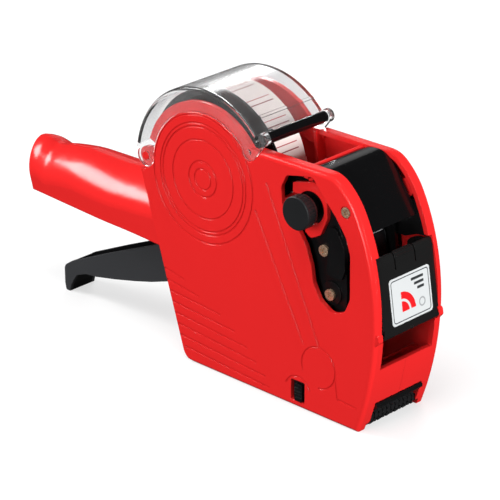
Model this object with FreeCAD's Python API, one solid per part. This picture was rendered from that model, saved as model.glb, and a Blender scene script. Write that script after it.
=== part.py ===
import FreeCAD, Part
import os, math

os.makedirs("parts", exist_ok=True)

# ---------------------------------------------------------------- driving dimensions (mm)
# Working axes: X forward to the nose, Y to the tool's left, Z up, origin on the label-roll hub
# axis in the middle plane.  place() turns them by TILT so that the sole is level, and moves the
# origin to the middle of the sole.
TILT = 1.56                 # the sole falls away forward by this angle in the working axes
BASE_DROP = 91.334          # hub axis above the sole line
ORIGIN_X = 45.3             # the row's origin along the sole
HALF = 22.5                 # half the body width
WALL = 2.2                  # side wall
BAND = 2.4                  # edge wall
SPLIT = 0.0                 # parting plane of the two shells
HEAD_R = 35.5               # side discs of the roll housing
RECESS_R = 30.6             # step that the clear cover's flange sits in
RECESS_Y = 20.3
COVER_R = 42.0              # clear cover, outside
COVER_T = 1.8
COVER_P = (-35.5, 2.0)      # clear cover's pivot
COVER_Q = (27.5, 20.0)      # clear cover's front lobe
BAR = (34.5, 27.0)          # bar on the clear cover
BAR_R = 2.65
PIVOT = (-12.0, -47.0)      # main pivot of the trigger lever
PIVOT_R = 3.0
STROKE = 23.0
KNOB = (61.2, 2.6)          # band selector axis
ANVIL = (75.8, -41.4)
FEED = (57.0, -72.3)
FEED_R = 8.0
ROLL_C = (-3.0, 2.0)        # label roll axis
ROLL_R = 35.0
LABEL_W = 21.2
INK = (89.1, -38.2)         # ink roller axis
INK_R = 7.0
INK_HINGE = (100.9, -47.6)
APP = (88.8, -89.3)         # applicator roller axis
APP_R = 4.35
LEVER_HALF = 8.0
HOOD_HALF = 16.2
PANEL_HALF = 18.4
RUN = 0.06                  # running clearance on a radius

V = FreeCAD.Vector


def sole(x):
    """z of the sole line at x, in the working axes"""
    return -BASE_DROP - math.tan(math.radians(TILT)) * x


def place(shape):
    s = shape.copy()
    s.rotate(V(0, 0, 0), V(0, 1, 0), -TILT)
    s.translate(V(-ORIGIN_X, 0, BASE_DROP * math.cos(math.radians(TILT))))
    return s


def save(name, shape):
    s = place(shape)
    solids = s.Solids
    vol = sum(q.Volume for q in solids)
    if not solids or not s.isValid():
        print("BAD", name, len(solids), s.isValid())
    out = solids[0] if len(solids) == 1 else Part.makeCompound(solids)
    out.exportStep("parts/%s.step" % name)
    print("%-20s solids %d volume %.1f" % (name, len(solids), vol))


# ---------------------------------------------------------------- drawing helpers (X-Z plane)
def rounded(pts):
    """closed wire in the X-Z plane through (x, z[, corner radius])"""
    n = len(pts)
    P = [(p[0], p[1]) for p in pts]
    R = [p[2] if len(p) > 2 else 0.0 for p in pts]
    ins, outs, mids = [], [], []
    for i in range(n):
        a, b, c = P[i - 1], P[i], P[(i + 1) % n]
        r = R[i]
        if r <= 0:
            ins.append(b)
            outs.append(b)
            mids.append(None)
            continue
        ux, uz = a[0] - b[0], a[1] - b[1]
        vx, vz = c[0] - b[0], c[1] - b[1]
        lu, lv = math.hypot(ux, uz), math.hypot(vx, vz)
        ux, uz, vx, vz = ux / lu, uz / lu, vx / lv, vz / lv
        half = math.acos(max(-1, min(1, ux * vx + uz * vz))) / 2
        d = r / math.tan(half)
        d = min(d, 0.49 * lu, 0.49 * lv)
        r = d * math.tan(half)
        bx, bz = ux + vx, uz + vz
        lb = math.hypot(bx, bz)
        bx, bz = bx / lb, bz / lb
        ins.append((b[0] + ux * d, b[1] + uz * d))
        outs.append((b[0] + vx * d, b[1] + vz * d))
        k = r / math.sin(half) - r
        mids.append((b[0] + bx * k, b[1] + bz * k))
    edges = []
    for i in range(n):
        if mids[i] is not None:
            edges.append(Part.Arc(V(ins[i][0], 0, ins[i][1]), V(mids[i][0], 0, mids[i][1]),
                                  V(outs[i][0], 0, outs[i][1])).toShape())
        a, b = outs[i], ins[(i + 1) % n]
        if math.hypot(a[0] - b[0], a[1] - b[1]) > 1e-6:
            edges.append(Part.LineSegment(V(a[0], 0, a[1]), V(b[0], 0, b[1])).toShape())
    return Part.Wire(edges)


def plate(pts, y0, y1):
    f = Part.Face(rounded(pts))
    f.translate(V(0, y0, 0))
    return f.extrude(V(0, y1 - y0, 0))


def cyl(c, r, y0, y1):
    return Part.makeCylinder(r, y1 - y0, V(c[0], y0, c[1]), V(0, 1, 0))


def tube(c, r0, r1, y0, y1):
    return cyl(c, r1, y0, y1).cut(cyl(c, r0, y0 - 1, y1 + 1))


def box(x0, x1, y0, y1, z0, z1):
    return Part.makeBox(x1 - x0, y1 - y0, z1 - z0, V(x0, y0, z0))


def sector(r0, r1, a0, a1, y0, y1, c=(0, 0)):
    """part of a ring about c, angles in degrees from +X towards +Z"""
    def pt(r, a):
        return V(c[0] + r * math.cos(math.radians(a)), 0, c[1] + r * math.sin(math.radians(a)))
    am = (a0 + a1) / 2
    e = [Part.Arc(pt(r1, a0), pt(r1, am), pt(r1, a1)).toShape(),
         Part.LineSegment(pt(r1, a1), pt(r0, a1)).toShape(),
         Part.Arc(pt(r0, a1), pt(r0, am), pt(r0, a0)).toShape(),
         Part.LineSegment(pt(r0, a0), pt(r1, a0)).toShape()]
    f = Part.Face(Part.Wire(e))
    f.translate(V(0, y0, 0))
    return f.extrude(V(0, y1 - y0, 0))


def fuse(shapes):
    s = shapes[0]
    if len(shapes) > 1:
        s = s.multiFuse(shapes[1:])
    return s.removeSplitter()


def cut(s, tools):
    for t in tools:
        s = s.cut(t)
    return s


def mirror(s):
    return s.mirror(V(0, 0, 0), V(0, 1, 0))


# ---------------------------------------------------------------- shells
# top of the front edge and the ends of the tangent arcs that make it, down to the sole
FRONT = [(72.0, 21.5), (80.16, 18.64), (90.11, 6.5), (98.35, -15.63), (101.36, -46.39), (91.58, sole(91.58))]
REAR_LO = (-12.6, -87.0)
REAR_HI = (-38.6, -4.2)


def outline(shift=0.0):
    """closed outline of the body in the X-Z plane, drawn 'shift' inside the true one"""
    def sole_in(x):
        return sole(x) + shift * math.hypot(1.0, math.tan(math.radians(TILT)))
    # front: tangent arcs
    edges = []
    tx, tz = 1.0, 0.0
    last = None
    for i, ((ax, az), (cx, cz)) in enumerate(zip(FRONT[:-1], FRONT[1:])):
        dx, dz = cx - ax, cz - az
        chord = math.hypot(dx, dz)
        th = math.atan2(tx * dz - tz * dx, tx * dx + tz * dz)
        R = chord / (2 * math.sin(-th))
        ox, oz = ax + tz * R, az - tx * R
        r = R - shift

        def at(u):
            w = math.atan2(az - oz, ax - ox) + 2 * th * u
            return ox + r * math.cos(w), oz + r * math.sin(w)
        u1 = 1.0
        if i == len(FRONT) - 2:
            lo, hi = 0.3, 1.0
            for k in range(60):
                mid = (lo + hi) / 2
                x, z = at(mid)
                if z > sole_in(x):
                    lo = mid
                else:
                    hi = mid
            u1 = lo if shift else 1.0
        p0, pm, p1 = at(0.0), at(u1 / 2), at(u1)
        if last is not None:
            p0 = last
        edges.append(Part.Arc(V(p0[0], 0, p0[1]), V(pm[0], 0, pm[1]), V(p1[0], 0, p1[1])).toShape())
        last = p1
        c2, s2 = math.cos(2 * th), math.sin(2 * th)
        tx, tz = c2 * tx - s2 * tz, s2 * tx + c2 * tz
    front_low = V(last[0], 0, last[1])
    # rear edge and the rounded rear corner of the sole
    slope = (REAR_HI[0] - REAR_LO[0]) / (REAR_HI[1] - REAR_LO[1])
    side = shift * math.hypot(1.0, slope)

    def rear(z):
        return REAR_LO[0] + slope * (z - REAR_LO[1]) + side
    x = -10.0
    for k in range(60):
        x = rear(sole_in(x))
    corner = (x, sole_in(x))
    r = 7.5 - shift
    ux, uz = 1.0, -math.tan(math.radians(TILT))
    lu = math.hypot(ux, uz)
    ux, uz = ux / lu, uz / lu
    z0 = REAR_HI[1] - shift
    top = (rear(z0), z0)
    vx, vz = top[0] - corner[0], top[1] - corner[1]
    lv = math.hypot(vx, vz)
    vx, vz = vx / lv, vz / lv
    half = math.acos(ux * vx + uz * vz) / 2
    d = r / math.tan(half)
    bx, bz = ux + vx, uz + vz
    lb = math.hypot(bx, bz)
    k = r / math.sin(half) - r
    p0 = V(corner[0] + ux * d, 0, corner[1] + uz * d)
    p1 = V(corner[0] + vx * d, 0, corner[1] + vz * d)
    pm = V(corner[0] + bx / lb * k, 0, corner[1] + bz / lb * k)
    R = HEAD_R - shift
    z1 = FRONT[0][1] - shift
    disc0 = V(-math.sqrt(R ** 2 - z0 ** 2), 0, z0)
    disc1 = V(math.sqrt(R ** 2 - z1 ** 2), 0, z1)
    top0 = V(FRONT[0][0], 0, z1)
    edges += [Part.LineSegment(front_low, p0).toShape(),
              Part.Arc(p0, pm, p1).toShape(),
              Part.LineSegment(p1, V(top[0], 0, top[1])).toShape(),
              Part.LineSegment(V(top[0], 0, top[1]), disc0).toShape(),
              Part.Arc(disc0, V(0, 0, R), disc1).toShape(),
              Part.LineSegment(disc1, top0).toShape()]
    return Part.Face(Part.Wire(Part.__sortEdges__(edges)))


def prism(face, y0, y1):
    f = face.copy()
    f.translate(V(0, y0, 0))
    return f.extrude(V(0, y1 - y0, 0))


# the handle: height of its top along x, its arched section and its rounded rear end
HANDLE_TOP = [(-24.0, -11.6), (-36.0, -12.8), (-48.0, -14.0), (-60.0, -15.1), (-74.0, -15.5), (-88.0, -15.2),
              (-98.0, -15.8), (-106.0, -17.0), (-113.0, -18.1), (-120.0, -16.7)]
HANDLE_BOTTOM = -39.2
CREASE_X, CREASE_Z, CREASE_K = -38.0, -6.0, 0.3125
TAPER = 0.0965
ARCH, ARCH_N = 15.6, 1.85
DOME_X, DOME_L, DOME_N = -124.3, 4.2, 2.2
DROP_X, DROP_H, DROP_N = -120.1, 8.4, 5.0
LEAN = 0.25
top_line = Part.BSplineCurve()
top_line.interpolate([V(x, 0, z) for x, z in HANDLE_TOP])


def top_height(x):
    """height of the handle's top before the rear end falls away"""
    x = max(x, -120.0)
    lo, hi = top_line.FirstParameter, top_line.LastParameter
    for k in range(50):
        m = (lo + hi) / 2
        if top_line.value(m).x > x:
            lo = m
        else:
            hi = m
    return top_line.value((lo + hi) / 2).z


def grip(x, z):
    """half width of the handle's side at a point, ahead of the domed end"""
    t = min(1.0, max(0.0, (-45.0 - x) / 30.0))
    return HALF - TAPER * ((CREASE_X - CREASE_K * (z - CREASE_Z)) - x) + 0.83 * t * t * (3 - 2 * t)


def handle_half(t=0.0):
    """half of the handle as a loft of arch sections; t is the distance inside the true surface"""
    z_low = HANDLE_BOTTOM if not t else -60.0
    end = DOME_X - DOME_L
    stations = [-24.0, -32.0, -41.0, -50.0, -60.0, -70.0, -80.0, -89.0, -97.0, -104.0, -110.0, -115.5, -120.1, DOME_X + 1.2]
    stations += [DOME_X - DOME_L * u for u in (0.15, 0.36, 0.54, 0.69, 0.81, 0.9, 0.955)]
    wires = []
    for x in stations:
        u = max(0.0, (DOME_X - x) / DOME_L)
        f = (1 - u ** DOME_N) ** (1 / DOME_N)
        g = DROP_H * (1 - max(0.0, 1 - (max(0.0, DROP_X - x) / (DROP_X - end)) ** DROP_N) ** (1 / DROP_N))
        zt = top_height(x) - g
        zs = zt - ARCH
        k = LEAN * min(1.0, max(0.0, (-60.0 - x) / 60.0))
        if t and (grip(x, zs) * f < 5.5 or x < end + t + 1.2):
            continue
        top, h = zt - t, ARCH - t
        w1, w0 = grip(x, zs) * f - t, grip(x, z_low) * f - t

        def at(y, z):
            return V(x - k * (z - zt), y, z)
        arc = [at(-w1 * math.cos(a) ** (2 / ARCH_N), zs + h * math.sin(a) ** (2 / ARCH_N))
               for a in [math.radians(v) for v in (0, 9, 20, 32, 45, 58, 70, 81, 90)]]
        arc[-1] = at(0, top)
        spl = Part.BSplineCurve()
        up = at(0, 1) - at(0, 0)
        spl.interpolate(Points=arc, InitialTangent=V(up.x, 0.0, up.z), FinalTangent=V(0, 1, 0))
        wires.append(Part.Wire([Part.LineSegment(at(0, z_low), at(-w0, z_low)).toShape(),
                                Part.LineSegment(at(-w0, z_low), arc[0]).toShape(), spl.toShape(),
                                Part.LineSegment(arc[-1], at(0, z_low)).toShape()]))
    s = Part.makeLoft(wires, True, False)
    return s.cut(box(-150, 0, -60, -HALF + t * 0.9, -80, 20))


def try_fillet(shape, edges, radii, tag):
    for r in radii:
        try:
            out = shape.makeFillet(r, edges)
            if out.isValid() and out.Volume > 0.5 * shape.Volume:
                print("fillet", tag, r)
                return out
        except Exception as err:
            print("fillet", tag, r, "failed", str(err)[:60])
    return shape


def sound(shape):
    return (not shape.isNull()) and shape.isValid() and shape.Volume > 1.0


def recess(y0, y1, grow=0.0):
    """space that the clear cover's side flange and lobes take, seen from the side"""
    parts = [sector(RECESS_R - grow, 60.0, 37.0, 176.0, y0, y1),
             cyl(COVER_P, 5.3 + grow, y0, y1), sector(4.0, 7.3, 183.0, 262.0, y0, y1, c=COVER_P), cyl(COVER_Q, 4.4 + grow, y0, y1),
             plate([(23.4, 19.4), (31.4, 17.9), (40, 27), (33, 34), (22, 24)], y0, y1)]
    return fuse(parts)


RINGS = [(29.6, 30.4), (24.0, 24.7), (25.7, 26.3), (18.1, 18.6), (8.0, 8.7), (4.6, 5.2)]
RIBS = [((-24.2, -49.3), (-12.0, -51.8)), ((-22.6, -54.4), (-3.0, -57.6)),
        ((-21.0, -59.4), (10.0, -62.4)), ((-19.4, -64.4), (19.0, -68.0)),
        ((-17.8, -69.4), (26.5, -73.6)), ((-16.2, -74.4), (32.0, -79.0)),
        ((-14.7, -79.4), (37.5, -84.2)), ((-11.5, -84.6), (40.0, -88.8))]


def line_groove(a, b, w, depth):
    dx, dz = b[0] - a[0], b[1] - a[1]
    l = math.hypot(dx, dz)
    nx, nz = -dz / l * w / 2, dx / l * w / 2
    return plate([(a[0] + nx, a[1] + nz), (b[0] + nx, b[1] + nz), (b[0] - nx, b[1] - nz),
                  (a[0] - nx, a[1] - nz)], -HALF - 1, -HALF + depth)


KNOB_WINDOW = [(46.6, 9.2, 4.0), (49.6, 15.2, 2.5), (57.4, 16.9, 3), (64.6, 18.2, 3.0), (69.8, 11.9, 6.0),
               (77.9, 3.6, 8.0), (83.9, -4.6, 6.0), (86.3, -12.0, 4.0), (86.5, -32.3, 5.0),
               (83.6, -39.0, 4.0), (76.5, -41.9, 5.0), (69.4, -37.6, 4.0), (65.5, -30.6, 4.0),
               (64.2, -22.8, 8.0), (61.2, -14.7, 8.0), (57.0, -8.6, 6.0), (47.3, 0.5, 4.0)]
LATCH_WINDOW = [(53.0, -80.0, 0.8), (61.0, -80.0, 0.8), (61.0, -90.0, 0.8), (53.0, -90.0, 0.8)]
BOSSES = [(-6.0, -79.0), (46.0, 0.0), (88.0, -70.0), (-113.5, -32.5)]


def trace(tag, s):
    """say so when a shape stops being one sound solid"""
    if s.isNull() or not s.isValid() or len(s.Solids) != 1:
        print("  not one sound solid after", tag, s.isNull(), s.isValid(), [round(q.Volume, 1) for q in s.Solids])


def shell(side):
    """side -1: right shell (towards -Y, with the selector window); +1: drawn the same way and
    then mirrored by the caller"""
    O = outline()
    block = prism(O, -HALF, -SPLIT)
    ahead = block.common(box(31.0, 200, -60, 60, -150, 60))
    edges = []
    for e in ahead.Edges:
        bb = e.BoundBox
        if bb.YLength < 1e-3 and abs(bb.YMin + HALF) < 1e-3:
            mid = e.valueAt((e.FirstParameter + e.LastParameter) / 2)
            # the front and the top, which run into each other smoothly
            if mid.x > 72.5 and mid.z > -90 or (abs(mid.z - FRONT[0][1]) < 0.05 and mid.x > 35):
                edges.append(e)
    ahead = ahead.makeFillet(2.2, edges)
    trace("edge rounding", ahead)
    block = block.cut(box(31.0, 200, -60, 60, -150, 60)).fuse(ahead)
    trace("block", block)
    # hollow
    inner = outline(BAND)
    hollow = prism(inner, -RECESS_Y, 1.0)
    back = fuse([sector(RECESS_R - 2.4, HEAD_R, 33.0, 178.0, -RECESS_Y, -18.0),
                 cyl(COVER_Q, 6.6, -RECESS_Y, -18.1)])
    hollow = hollow.cut(back)
    # the body stays open into the handle: only the head's rear wall stands between them
    hollow = hollow.fuse(cyl((0, 0), 39.6, -RECESS_Y, 1.0).common(box(-60, -20, -30, 2, -30.0, -3.5)))
    hollow2 = handle_half(2.3)
    hollow2 = hollow2.cut(box(-41.7, 0, -40, 2, -17.0, 20))
    half_block = block.cut(hollow).cut(hollow2)
    half_handle = handle_half(0.0).cut(hollow).cut(hollow2)
    body = half_block.fuse(half_handle)
    trace("handle", body)
    # way between the body and the handle, through the rear edge wall, for the lever
    body = body.cut(box(-46, -8, -8.9, 1, -70, -22))
    # clear cover's recess
    body = body.cut(recess(-HALF - 1, -RECESS_Y))
    trace("recess", body)
    # open top and front
    body = body.cut(box(30.0, 115, -16.5, 1, -11.6, 40))
    body = body.cut(box(92.0, 115, -18.7, 1, -48.6, -11.5))
    body = body.cut(box(90.0, 115, -17.25, 1, -62.9, -48.5))
    # room for the ink cover's lower edge as it turns
    body = body.cut(box(98.5, 115, -18.7, 1, -49.6, -48.0))
    body = body.cut(box(84.0, 115, -15.6, 1, -100, -80.6))
    trace("front", body)
    # roll housing: no edge wall, and room for the cover's rear edge
    body = body.cut(box(-60, 30.1, -18.0, 1, -3.9, 60))
    body = body.cut(cyl(COVER_P, 8.4, -20.7, 1).cut(box(-60, 0, -30, 2, -60, -3.9)))
    trace("housing", body)
    # sole opening for the feed cover
    body = body.cut(box(46.6, 92.5, -17.6, 1, -100, -88))
    trace("sole opening", body)
    # ear with the cover's pivot pin
    adds = [fuse([cyl(COVER_P, 4.2, -20.4, -18.0), plate([(-36.5, -2.0), (-29, -2.0), (-29, 8), (-35, 6)], -20.4, -18.0),
                  cyl(COVER_P, 2.0 - RUN, -22.4, -20.0)])]
    # bosses
    adds.append(tube(PIVOT, PIVOT_R + 0.02, 6.4, -20.6, -15.9))
    adds.append(tube(FEED, 2.02, 4.4, -20.6, -16.2))
    adds.append(tube(APP, 1.52, 3.6, -20.6, -17.7))
    for c in BOSSES:
        wide = HALF - 2.0
        if c[0] < -40:
            wide = grip(*c) - 2.2
        adds.append(tube(c, 1.4, 3.4, -wide, -0.02))
    # pads under the hood's screw and beside the ink cover's pins
    adds.append(cyl((83.4, 7.1), 4.2, -20.6, -17.4))
    adds.append(plate([(97.0, -43.6, 1), (101.9, -45.2, 1.2), (102.4, -48.4, 1.2), (100.6, -50.4, .5), (97.0, -50.4)], -21.8, -18.7))
    adds.append(cyl(INK_HINGE, 0.62, -19.0, -17.4))
    if side > 0:
        # upright rib beside the web, behind the cover's bar
        rib = plate([(31.4, 20.6), (33.0, 20.6), (35.4, 3.0), (33.8, 3.0)], -20.6, -15.0)
        rib = rib.fuse(plate([(33.0, 20.6), (36.4, 20.6), (34.6, 16.8), (33.5, 17.0)], -20.6, -18.6))
        adds.append(rib.cut(box(20, 50, -30, -20.3, 14.5, 30)))
    for i, q in enumerate(adds):
        body = body.fuse(q)
        trace("add %d" % i, body)
    # surface relief
    tools = []
    for r0, r1 in RINGS:
        tools.append(tube((0, 0), r0, r1, -HALF - 1, -HALF + 0.32).cut(recess(-HALF - 2, -HALF + 1, 0.6)))
    for a, b in RIBS:
        tools.append(line_groove(a, b, 0.75, 0.34))
    tools.append(tube((69.0, -70.0), 9.4, 10.0, -HALF - 1, -HALF + 0.3)
                 .cut(box(60, 69.0, -30, -10, -90, -70)))
    tools.append(line_groove((31.5, -6.0), (60.0, -61.0), 0.9, 0.35))
    tools.append(line_groove((38.0, 8.5), (69.5, -60.6), 0.9, 0.35))
    tools.append(line_groove((80.2, -81.6), (91.0, -82.6), 0.8, 0.35))
    tools.append(line_groove((78.6, -70.5), (80.0, -81.4), 0.7, 0.25))
    tools.append(sector(7.0, 7.7, 20, 160, -HALF - 1, -HALF + 0.3, c=(57.0, -85.3)))
    window = plate(KNOB_WINDOW, -HALF - 1, -RECESS_Y + 0.2)
    for i, t in enumerate(tools):
        if side < 0:
            t = t.cut(window)
        body = body.cut(t)
        trace("relief %d" % i, body)
    if side < 0:
        body = body.cut(window)
        trace("selector window", body)
        body = body.cut(cyl((83.4, 7.1), 2.75, -HALF - 1, -HALF + 1.0))
        body = body.cut(cyl((83.4, 7.1), 1.4, -HALF - 1, -18.4))
    else:
        for c in BOSSES:
            face = HALF if c[0] > -40 else grip(*c) - 0.2
            body = body.cut(cyl(c, 2.75, -HALF - 1, -face + 1.0))
            body = body.cut(cyl(c, 1.4, -HALF - 1, -face + 4.0))
            trace("screw hole", body)
    body = body.cut(plate(LATCH_WINDOW, -HALF - 1, -18.0))
    trace("latch window", body)
    # sole: small bevel along the side
    bevel = Part.Face(Part.makePolygon([V(-60, -HALF - 0.01, sole(-60) + 1.1), V(-60, -HALF - 0.01, sole(-60) - 2.0), V(-60, -HALF + 1.1, sole(-60) - 0.01),
                                        V(-60, -HALF - 0.01, sole(-60) + 1.1)]))
    bevel = bevel.extrude(V(200, 0, sole(140) - sole(-60)))
    body = body.cut(bevel)
    trace("bevel", body)
    return body


right_shell = shell(-1)
left_shell = mirror(shell(1))

# ---------------------------------------------------------------- screws
def screw(c, y_face, sgn, head_r, head_h, shank_r, shank_l):
    """pan head whose outer face is at y_face; sgn -1 looks to -Y"""
    if sgn < 0:
        h = cyl(c, head_r, y_face, y_face + head_h)
        s = cyl(c, shank_r, y_face + head_h - 0.1, y_face + head_h + shank_l)
    else:
        h = cyl(c, head_r, y_face - head_h, y_face)
        s = cyl(c, shank_r, y_face - head_h - shank_l, y_face - head_h + 0.1)
    out = fuse([h, s])
    # cross recess
    for a in (20, 110):
        b = box(-1.5, 1.5, -0.7, 0.7, -0.32, 0.32)
        b.rotate(V(0, 0, 0), V(0, 1, 0), a)
        b.translate(V(c[0], y_face, c[1]))
        out = out.cut(b)
    return out


shell_screws = [screw((83.4, 7.1), -HALF - 0.1, -1, 2.3, 1.0, 1.36, 2.8)]
for c in BOSSES:
    shell_screws.append(screw(c, (HALF if c[0] > -40 else grip(*c) - 0.2) + 0.1, 1, 2.3, 1.0, 1.36, 2.8))
shell_screws = Part.makeCompound(shell_screws)

# ---------------------------------------------------------------- fixed inner pieces
cross_brace = fuse([plate([(57.4, 10.4), (59.8, 10.4), (60.3, 20.3, 0.8), (57.9, 20.9, 0.8)], -20.25, 20.25)])
cross_brace = cross_brace.cut(box(50, 70, -20.5, -16.4, 18.9, 30)).cut(box(50, 70, 16.4, 20.5, 18.9, 30))
# clear of the selector plate
cross_brace = cross_brace.cut(box(50, 70, -20.5, -17.0, 5, 15.6))
# dark liner on the far wall, above the way of the ink cover's side walls
side_liner = plate([(77.0, -15.6, 1), (83.6, -15.6, 1), (86.5, -14.2, 1), (90.0, -12.9, 1), (96.0, -12.5), (96.0, 2.4), (77.0, 2.4, 1)], 17.6, 20.25)
side_liner = side_liner.common(prism(outline(BAND + 0.1), 17.0, 20.25))

holder = fuse([cyl((0, 0), 39.2, -12.7, -11.2), cyl(ROLL_C, 11.9, -11.3, 9.6),
               cyl((0, 0), 5.0, -20.25, -12.6),
               plate([(24, 10), (36.5, 14, 2), (53.0, 15.2, 1.5), (53.0, 8.0, 2), (48.9, 2.0, 3), (48.6, -2.0, 2), (43.6, -18.6, 8), (50.9, -56.5, 1), (44.5, -56.5, 1), (34, -14), (30, -5)], -12.7, -11.2),
               cyl((27.6, 25.0), 2.0, -12.7, -8.7)])
holder = holder.cut(sector(34.4, 41.0, 168.0, 322.0, -13, -11))
# passes the shells' screw boss
holder = holder.cut(cyl((46.0, 0.0), 3.9, -13, -11))
holder = holder.cut(cyl(ROLL_C, 10.1, -13, 8.0))
holder = fuse([holder, cyl((0, 0), 6.6, -12.7, -11.2), cyl((0, 0), 5.0, -20.25, -12.6),
               box(-14, 10, -12.7, -11.2, 0.5, 3.5)])
roll_holder = holder


def web_x(z):
    return 30.6 + (12.0 - z) * 0.2275


g0, g1 = -9.0, -57.0
web_guide = fuse([
    plate([(web_x(g0) + 3.2, g0), (web_x(g0) + 4.6, g0), (web_x(g1) + 4.6, g1), (web_x(g1) + 3.2, g1)], -11.15, 12.4),
    plate([(web_x(g0) - 0.4, g0, 1), (web_x(g0) + 4.6, g0), (web_x(g1) + 4.6, g1), (web_x(g1) - 0.4, g1, 1)], 11.15, 12.4),
    cyl((web_x(-22) + 4.0, -22.0), 1.6, 11.5, 20.25), cyl((web_x(-12) + 4.0, -12.0), 1.6, 11.5, 20.25)])
# the feed pawl swings past on this side
web_guide = web_guide.cut(box(20, 60, 11.0, 14, -70, -26))

# ---------------------------------------------------------------- label web
def strip(path, t, half):
    """thin strip that follows a list of (x, z) points"""
    left, right = [], []
    n = len(path)
    for i, (x, z) in enumerate(path):
        a = path[max(0, i - 1)]
        b = path[min(n - 1, i + 1)]
        dx, dz = b[0] - a[0], b[1] - a[1]
        l = math.hypot(dx, dz)
        left.append(V(x - dz / l * t / 2, 0, z + dx / l * t / 2))
        right.append(V(x + dz / l * t / 2, 0, z - dx / l * t / 2))
    poly = left + right[::-1]
    f = Part.Face(Part.makePolygon(poly + [poly[0]]))
    f.translate(V(0, -half, 0))
    return f.extrude(V(0, 2 * half, 0))


path = [(ROLL_C[0] + (ROLL_R + 0.25) * math.cos(math.radians(12.8)), ROLL_C[1] + (ROLL_R + 0.25) * math.sin(math.radians(12.8)))]
path = [(path[0][0] + 0.2, path[0][1]), (48.2, -66.0)]
for a in range(182, 271, 8):
    path.append((FEED[0] + 8.55 * math.cos(math.radians(a)), FEED[1] + 8.55 * math.sin(math.radians(a))))
path += [(61.0, -80.95), (90.6, -80.95)]
for a in (75, 45, 15, -15, -45, -75):
    path.append((90.8 + 1.75 * math.cos(math.radians(a)), -82.7 + 1.75 * math.sin(math.radians(a))))
path += [(90.0, -84.45), (60.0, -85.2), (50.0, -86.2)]
label_web = strip(path, 0.26, LABEL_W / 2 - 0.1)

platen = fuse([box(60.5, 85.8, -13.2, 13.2, -82.8, -81.15), box(62, 66, -20.25, 20.25, -83.9, -82.3)])
platen = platen.cut(box(61, 67, -12.0, 12.0, -84.5, -82.8))
# the web turns back around the bar's core; the nose in front of it spans the opening
peel_bar = plate([(86.0, -81.15), (90.6, -81.15), (91.9, -82.0, 0.7), (91.9, -83.4, 0.7), (90.0, -84.1), (86.0, -83.9)], -12.0, 12.0)
peel_bar = peel_bar.fuse(plate([(93.6, -80.9), (96.4, -81.0, 0.8), (96.9, -82.6, 0.6), (95.0, -84.6, 0.6), (93.6, -84.4)], -15.4, 15.4))
for sgn in (-1, 1):
    y0, y1 = min(sgn * 11.2, sgn * 15.4), max(sgn * 11.2, sgn * 15.4)
    peel_bar = peel_bar.fuse(plate([(86.0, -81.15), (94.5, -81.15), (94.5, -84.0), (86.0, -83.9)], y0, y1))
    y0, y1 = min(sgn * 15.0, sgn * 20.25), max(sgn * 15.0, sgn * 20.25)
    peel_bar = peel_bar.fuse(plate([(86.0, -81.15), (90.0, -81.15), (90.0, -83.4), (86.0, -83.4)], y0, y1))
peel_bar = peel_bar.removeSplitter()

main_pivot_pin = cyl(PIVOT, PIVOT_R, -20.2, 20.2)
feed_axle = cyl(FEED, 2.0, -20.2, 20.2)
roller_axle = cyl(APP, 1.5, -20.2, 20.2)

rings = []
for i in range(4):
    rings.append(Part.makeTorus(7.5, 0.6, V(PIVOT[0], 9.4 + 1.1 * i, PIVOT[1]), V(0, 1, 0)))
rings.append(Part.makeCylinder(0.6, 10.0, V(PIVOT[0] + 7.3, 12.4, PIVOT[1] + 0.5), V(0.1, 0, -1)))
rings.append(Part.makeCylinder(0.6, 6.0, V(PIVOT[0] - 7.3, 9.7, PIVOT[1] + 0.5), V(0, 0, -1)))
return_spring = fuse(rings)

# ---------------------------------------------------------------- trigger lever
tail = [(-12.0, -41.0), (-20.0, -40.6, 3), (-30.0, -42.8, 6), (-45.0, -48.7), (-76.9, -62.2), (-100.2, -72.6, 3.0),
        (-105.3, -76.0, 3.6), (-105.2, -85.0), (-104.3, -89.0, 1.4), (-101.9, -88.9, 1.0), (-100.9, -85.0, 4),
        (-97.2, -79.0, 4.0), (-90.6, -76.7, 5), (-84.2, -76.1), (-71.1, -73.6), (-58.2, -70.7), (-46.9, -67.8),
        (-36.4, -64.4), (-22.0, -59.2, 8), (-12.0, -53.5)]
lever_tail = plate(tail, -LEVER_HALF, LEVER_HALF)
trough = plate([(-24.0, -30.0), (-24.0, -58.0, 3), (-36.4, -62.2), (-46.9, -65.6), (-58.2, -68.5), (-71.1, -71.4),
                (-84.2, -73.9), (-94.0, -74.6, 4), (-99.5, -77.0, 3), (-101.6, -74.5, 1.5), (-101.0, -60.0), (-60.0, -30.0)],
               -LEVER_HALF + 1.9, LEVER_HALF - 1.9)
hook_in = None
arm_pts = [(-12.0, -40.5), (16.0, -36.0, 10), (42.0, -27.0, 8), (53.5, -14.0, 6), (60.0, -9.5, 4), (69.0, -9.8, 3),
           (73.6, -15.0, 5), (77.0, -29.0, 10), (79.9, -39.5, 3), (79.0, -44.3, 3), (74.0, -46.3, 4), (69.5, -41.5, 4),
           (62.0, -37.6, 8), (44.0, -38.6, 10), (18.0, -46.0, 10), (-12.0, -53.5)]
arms = [plate(arm_pts, -15.5, -13.6), plate(arm_pts, 13.6, 15.5)]
hubs = [cyl(PIVOT, 6.5, -15.5, 15.5)]
lever = fuse([lever_tail.cut(trough)] + hubs + arms)
lever = lever.cut(cyl(PIVOT, PIVOT_R + RUN, -30, 30))
# room for the spring beside the tail
lever = lever.cut(tube(PIVOT, 6.5, 8.6, 8.6, 13.55))
SCREWS_HEAD = [(67.6, -16.1), (71.7, -35.5)]
for c in SCREWS_HEAD:
    lever = lever.cut(cyl(c, 1.32, -30, 30))
lever = lever.cut(cyl(ANVIL, 2.0, -30, 30))
PAWL = (50.0, -34.5)
lever = lever.cut(cyl(PAWL, 1.02, 13.0, 16.0))
trigger_lever = lever

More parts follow.
